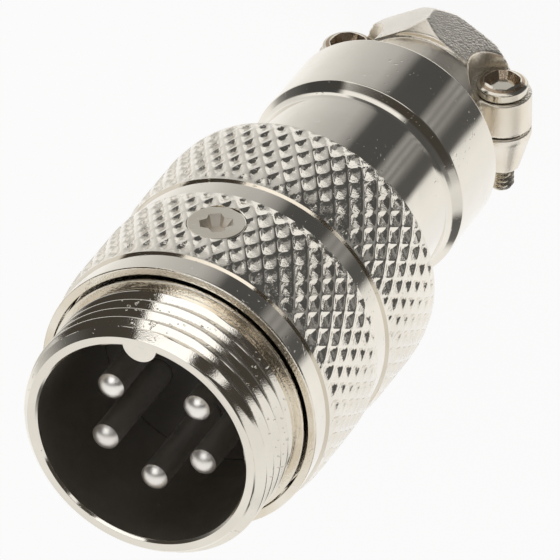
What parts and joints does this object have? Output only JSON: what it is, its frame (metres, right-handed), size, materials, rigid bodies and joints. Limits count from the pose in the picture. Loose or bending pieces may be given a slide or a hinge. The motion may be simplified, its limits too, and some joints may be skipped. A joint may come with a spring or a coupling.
{
  "type": "microphone connector",
  "caption": "In-line male microphone connector with a threaded nose, round contacts, a keyed bore, a diamond-knurled shell and a screw-down two-jaw cable clamp.",
  "frame": {"origin": "on the connector's axis at the flat rear end of the cable clamp, on which it stands", "axes": "+Z along the axis towards the mating rim; the key rib, set screw and clamp screw heads face -Y; the clamp screws lie at -X and +X"},
  "size_m": [0.0186, 0.0186, 0.0439],
  "materials": {
    "nickel_plate": "bright nickel plate over turned brass",
    "cast_plate": "nickel plate over a slightly grainy casting",
    "contact_plate": "bright plated contact",
    "screw_plate": "plated steel screw",
    "black_moulding": "glossy black moulding"
  },
  "bodies": {
    "shell": {"threaded_shell": "nickel_plate", "insulator": "black_moulding", "contact_pin_1": "contact_plate", "contact_pin_2": "contact_plate", "contact_pin_3": "contact_plate", "contact_pin_4": "contact_plate", "contact_pin_5": "contact_plate", "outer_shell": "nickel_plate", "set_screw": "screw_plate", "lower_jaw": "cast_plate"},
    "jaw": {"upper_jaw": "cast_plate"},
    "left_screw": {"clamp_screw_left": "screw_plate"},
    "right_screw": {"clamp_screw_right": "screw_plate"}
  },
  "joints": [
    {"name": "jaw_slide", "type": "slide", "parent": "shell", "child": "jaw", "axis": [0, -1, 0], "range_m": [0, 0.0006]},
    {"name": "left_screw_turn", "type": "hinge", "parent": "jaw", "child": "left_screw", "pos_m": [-0.0052, 0, 0.0024], "axis": [0, -1, 0], "range_deg": [0, 618]},
    {"name": "right_screw_turn", "type": "hinge", "parent": "jaw", "child": "right_screw", "pos_m": [0.0052, 0, 0.0024], "axis": [0, -1, 0], "range_deg": [0, 618]}
  ],
  "couplings": [
    {"joint": "left_screw_turn", "follows": "jaw_slide", "rad_per_m": 17952},
    {"joint": "right_screw_turn", "follows": "jaw_slide", "rad_per_m": 17952}
  ]
}
